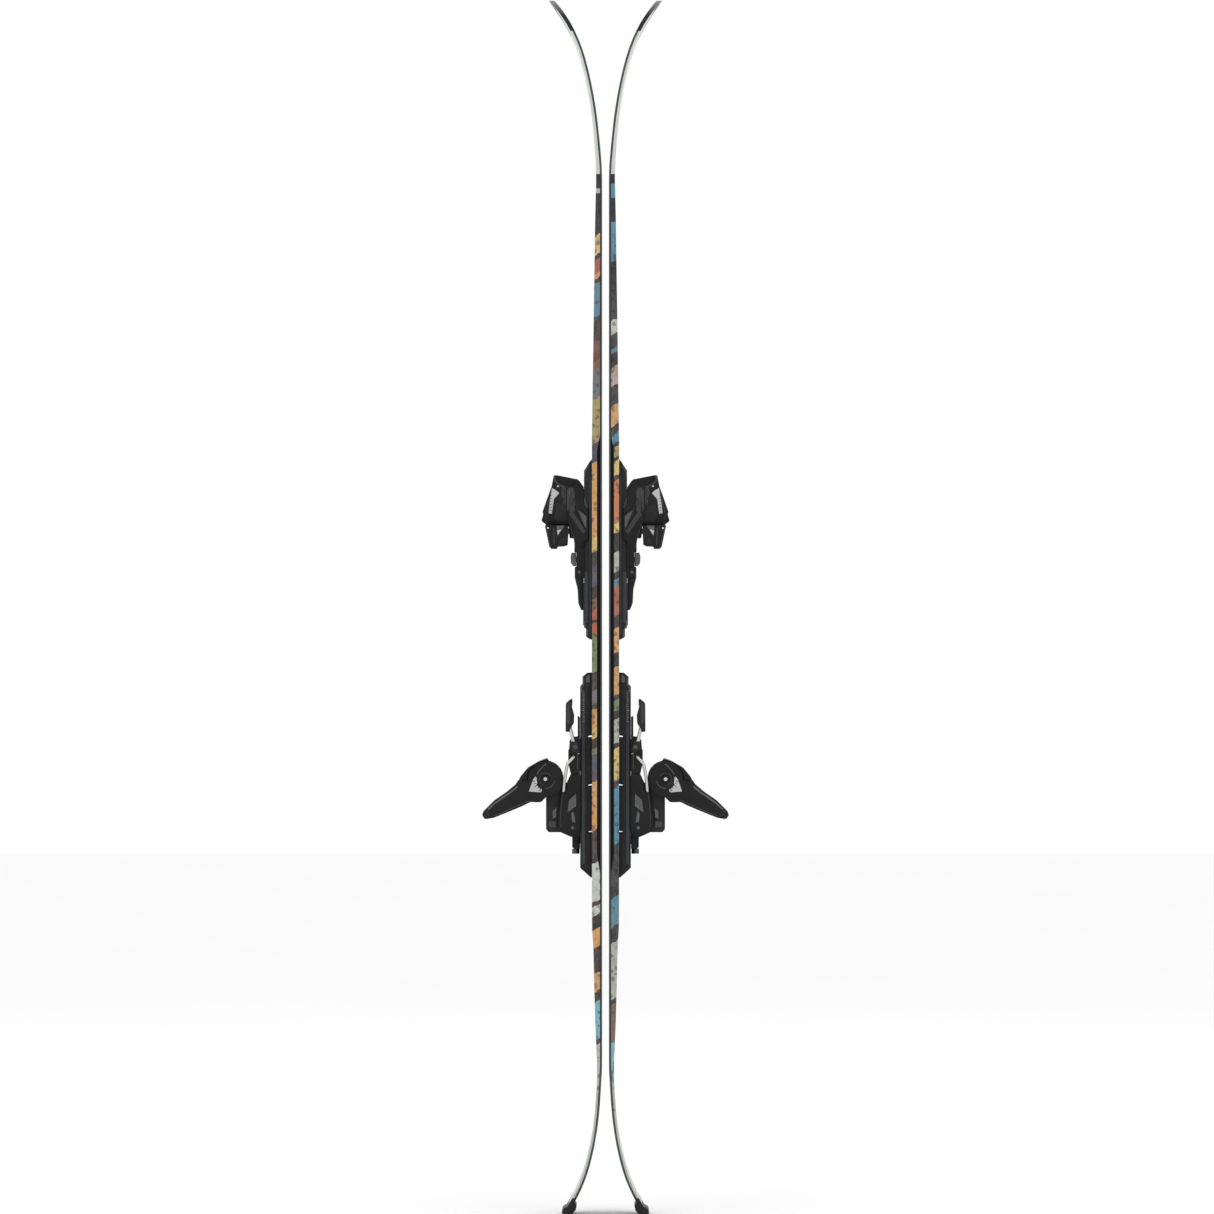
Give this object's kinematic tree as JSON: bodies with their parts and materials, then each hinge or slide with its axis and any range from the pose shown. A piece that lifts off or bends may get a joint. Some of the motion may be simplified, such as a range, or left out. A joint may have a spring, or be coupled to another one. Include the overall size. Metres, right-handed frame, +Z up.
{
  "type": "alpine skis with bindings",
  "caption": "Twin-tip alpine skis standing base to base, each with an adjustable step-in binding: release toe with wings, levered heel and ski brake.",
  "frame": {"origin": "on the floor under the middle of the pair, between the two tails", "axes": "+Z up along the skis to the tips, +X across the pair from ski to ski, +Y along the width of the skis"},
  "size_m": [0.3494, 0.1198, 1.7228],
  "materials": {
    "base_ptex": "sintered running base, black, fine ground structure",
    "edge_steel": "ground steel edge",
    "wood_core": "laminated core, hidden",
    "sidewall_abs": "black side wall",
    "top_sheet": "pale mint top sheet with multicoloured blocks",
    "guard_plastic": "black moulded tip and tail guards",
    "binding_black": "black moulded binding plastic, fine grain",
    "afd_grey": "low-friction plate",
    "screw_steel": "zinc-plated screw steel",
    "spring_steel": "spring steel",
    "steel_wire": "bright bent steel wire",
    "pad_black": "brake pad plastic",
    "binding_grey": "grey panels and scale windows"
  },
  "bodies": {
    "left_ski": {"left_ski_base": "base_ptex", "left_steel_edges": "edge_steel", "left_wood_core": "wood_core", "left_sidewalls": "sidewall_abs", "left_top_cap": "top_sheet", "left_end_guards": "guard_plastic", "left_toe_track": "binding_black", "left_heel_track": "binding_black", "left_mount_screws": "screw_steel"},
    "left_toe_carriage": {"left_toe_body": "binding_black", "left_toe_pins": "screw_steel", "left_toe_spring": "spring_steel"},
    "left_toe_wing_a": {"left_toe_wing_a": "binding_black"},
    "left_toe_wing_b": {"left_toe_wing_b": "binding_black"},
    "left_toe_screw": {"left_toe_setting_screw": "binding_black"},
    "left_afd": {"left_afd_plate": "afd_grey"},
    "left_toe_lock": {"left_toe_lock_lever": "binding_black"},
    "left_heel_slider": {"left_heel_carriage": "binding_black"},
    "left_pressure_screw": {"left_pressure_screw": "screw_steel"},
    "left_heel_unit": {"left_heel_housing": "binding_black", "left_heel_tower": "binding_black", "left_heel_axle_and_bail": "steel_wire", "left_heel_springs": "spring_steel", "left_brake_base": "binding_black"},
    "left_cup": {"left_heel_cup": "binding_black"},
    "left_lever": {"left_heel_lever": "binding_black"},
    "left_heel_screw": {"left_heel_setting_screw": "screw_steel"},
    "left_brake": {"left_brake_wires": "steel_wire", "left_brake_pads": "pad_black", "left_brake_pedal": "binding_black"},
    "right_ski": {"right_ski_base": "base_ptex", "right_steel_edges": "edge_steel", "right_wood_core": "wood_core", "right_sidewalls": "sidewall_abs", "right_top_cap": "top_sheet", "right_end_guards": "guard_plastic", "right_toe_track": "binding_black", "right_heel_track": "binding_black", "right_mount_screws": "screw_steel"},
    "right_toe_carriage": {"right_toe_body": "binding_black", "right_toe_pins": "screw_steel", "right_toe_spring": "spring_steel"},
    "right_toe_wing_a": {"right_toe_wing_a": "binding_black"},
    "right_toe_wing_b": {"right_toe_wing_b": "binding_black"},
    "right_toe_screw": {"right_toe_setting_screw": "binding_black"},
    "right_afd": {"right_afd_plate": "afd_grey"},
    "right_toe_lock": {"right_toe_lock_lever": "binding_black"},
    "right_heel_slider": {"right_heel_carriage": "binding_black"},
    "right_pressure_screw": {"right_pressure_screw": "screw_steel"},
    "right_heel_unit": {"right_heel_housing": "binding_black", "right_heel_tower": "binding_black", "right_heel_axle_and_bail": "steel_wire", "right_heel_springs": "spring_steel", "right_brake_base": "binding_black"},
    "right_cup": {"right_heel_cup": "binding_black"},
    "right_lever": {"right_heel_lever": "binding_black"},
    "right_heel_screw": {"right_heel_setting_screw": "screw_steel"},
    "right_brake": {"right_brake_wires": "steel_wire", "right_brake_pads": "pad_black", "right_brake_pedal": "binding_black"}
  },
  "joints": [
    {"name": "ski_separation", "type": "slide", "parent": "left_ski", "child": "right_ski", "axis": [1, 0, 0], "range_m": [0, 0.25]},
    {"name": "left_toe_adjust", "type": "slide", "parent": "left_ski", "child": "left_toe_carriage", "axis": [0, 0, 1], "range_m": [-0.02, 0.015]},
    {"name": "left_toe_wing_a_turn", "type": "hinge", "parent": "left_toe_carriage", "child": "left_toe_wing_a", "pos_m": [-0.0648, -0.031, 0.9695], "axis": [-1, 0, 0], "range_deg": [0, 30], "stiffness_Nm_per_rad": 4},
    {"name": "left_toe_wing_b_turn", "type": "hinge", "parent": "left_toe_carriage", "child": "left_toe_wing_b", "pos_m": [-0.0648, 0.031, 0.9695], "axis": [1, 0, 0], "range_deg": [0, 30], "stiffness_Nm_per_rad": 4},
    {"name": "left_toe_screw_turn", "type": "hinge", "parent": "left_toe_carriage", "child": "left_toe_screw", "pos_m": [-0.0568, 0, 1.025], "axis": [0, 0, 1], "continuous": true},
    {"name": "left_afd_slide", "type": "slide", "parent": "left_toe_carriage", "child": "left_afd", "axis": [0, -1, 0], "range_m": [-0.006, 0.006], "stiffness_N_per_m": 300},
    {"name": "left_toe_lock_turn", "type": "hinge", "parent": "left_toe_carriage", "child": "left_toe_lock", "pos_m": [-0.0373, 0, 0.9115], "axis": [0, 1, 0], "range_deg": [0, 70]},
    {"name": "left_heel_adjust", "type": "slide", "parent": "left_ski", "child": "left_heel_slider", "axis": [0, 0, 1], "range_m": [-0.02, 0.03]},
    {"name": "left_pressure_screw_turn", "type": "hinge", "parent": "left_heel_slider", "child": "left_pressure_screw", "pos_m": [-0.0422, 0, 0.515], "axis": [0, 0, 1], "continuous": true},
    {"name": "left_heel_pressure", "type": "slide", "parent": "left_heel_slider", "child": "left_heel_unit", "axis": [0, 0, 1], "range_m": [-0.012, 0], "stiffness_N_per_m": 2500, "springref_m": 0.008},
    {"name": "left_heel_lever_turn", "type": "hinge", "parent": "left_heel_unit", "child": "left_lever", "pos_m": [-0.085, 0, 0.6184], "axis": [0, -1, 0], "range_deg": [0, 42]},
    {"name": "left_heel_cup_turn", "type": "hinge", "parent": "left_heel_unit", "child": "left_cup", "pos_m": [-0.085, 0, 0.6184], "axis": [0, -1, 0], "range_deg": [0, 34]},
    {"name": "left_heel_screw_turn", "type": "hinge", "parent": "left_heel_unit", "child": "left_heel_screw", "pos_m": [-0.0753, 0, 0.545], "axis": [0, 0, 1], "continuous": true},
    {"name": "left_brake_turn", "type": "hinge", "parent": "left_heel_unit", "child": "left_brake", "pos_m": [-0.0424, 0, 0.664], "axis": [0, 1, 0], "range_deg": [0, 60]},
    {"name": "right_toe_adjust", "type": "slide", "parent": "right_ski", "child": "right_toe_carriage", "axis": [0, 0, 1], "range_m": [-0.02, 0.015]},
    {"name": "right_toe_wing_a_turn", "type": "hinge", "parent": "right_toe_carriage", "child": "right_toe_wing_a", "pos_m": [0.0648, 0.031, 0.9695], "axis": [1, 0, 0], "range_deg": [0, 30], "stiffness_Nm_per_rad": 4},
    {"name": "right_toe_wing_b_turn", "type": "hinge", "parent": "right_toe_carriage", "child": "right_toe_wing_b", "pos_m": [0.0648, -0.031, 0.9695], "axis": [-1, 0, 0], "range_deg": [0, 30], "stiffness_Nm_per_rad": 4},
    {"name": "right_toe_screw_turn", "type": "hinge", "parent": "right_toe_carriage", "child": "right_toe_screw", "pos_m": [0.0568, 0, 1.025], "axis": [0, 0, 1], "continuous": true},
    {"name": "right_afd_slide", "type": "slide", "parent": "right_toe_carriage", "child": "right_afd", "axis": [0, 1, 0], "range_m": [-0.006, 0.006], "stiffness_N_per_m": 300},
    {"name": "right_toe_lock_turn", "type": "hinge", "parent": "right_toe_carriage", "child": "right_toe_lock", "pos_m": [0.0373, 0, 0.9115], "axis": [0, -1, 0], "range_deg": [0, 70]},
    {"name": "right_heel_adjust", "type": "slide", "parent": "right_ski", "child": "right_heel_slider", "axis": [0, 0, 1], "range_m": [-0.02, 0.03]},
    {"name": "right_pressure_screw_turn", "type": "hinge", "parent": "right_heel_slider", "child": "right_pressure_screw", "pos_m": [0.0422, 0, 0.515], "axis": [0, 0, 1], "continuous": true},
    {"name": "right_heel_pressure", "type": "slide", "parent": "right_heel_slider", "child": "right_heel_unit", "axis": [0, 0, 1], "range_m": [-0.012, 0], "stiffness_N_per_m": 2500, "springref_m": 0.008},
    {"name": "right_heel_lever_turn", "type": "hinge", "parent": "right_heel_unit", "child": "right_lever", "pos_m": [0.085, 0, 0.6184], "axis": [0, 1, 0], "range_deg": [0, 42]},
    {"name": "right_heel_cup_turn", "type": "hinge", "parent": "right_heel_unit", "child": "right_cup", "pos_m": [0.085, 0, 0.6184], "axis": [0, 1, 0], "range_deg": [0, 34]},
    {"name": "right_heel_screw_turn", "type": "hinge", "parent": "right_heel_unit", "child": "right_heel_screw", "pos_m": [0.0753, 0, 0.545], "axis": [0, 0, 1], "continuous": true},
    {"name": "right_brake_turn", "type": "hinge", "parent": "right_heel_unit", "child": "right_brake", "pos_m": [0.0424, 0, 0.664], "axis": [0, -1, 0], "range_deg": [0, 60]}
  ],
  "couplings": [
    {"joint": "left_heel_cup_turn", "follows": "left_heel_lever_turn", "ratio": 0.8},
    {"joint": "right_heel_cup_turn", "follows": "right_heel_lever_turn", "ratio": 0.8}
  ]
}
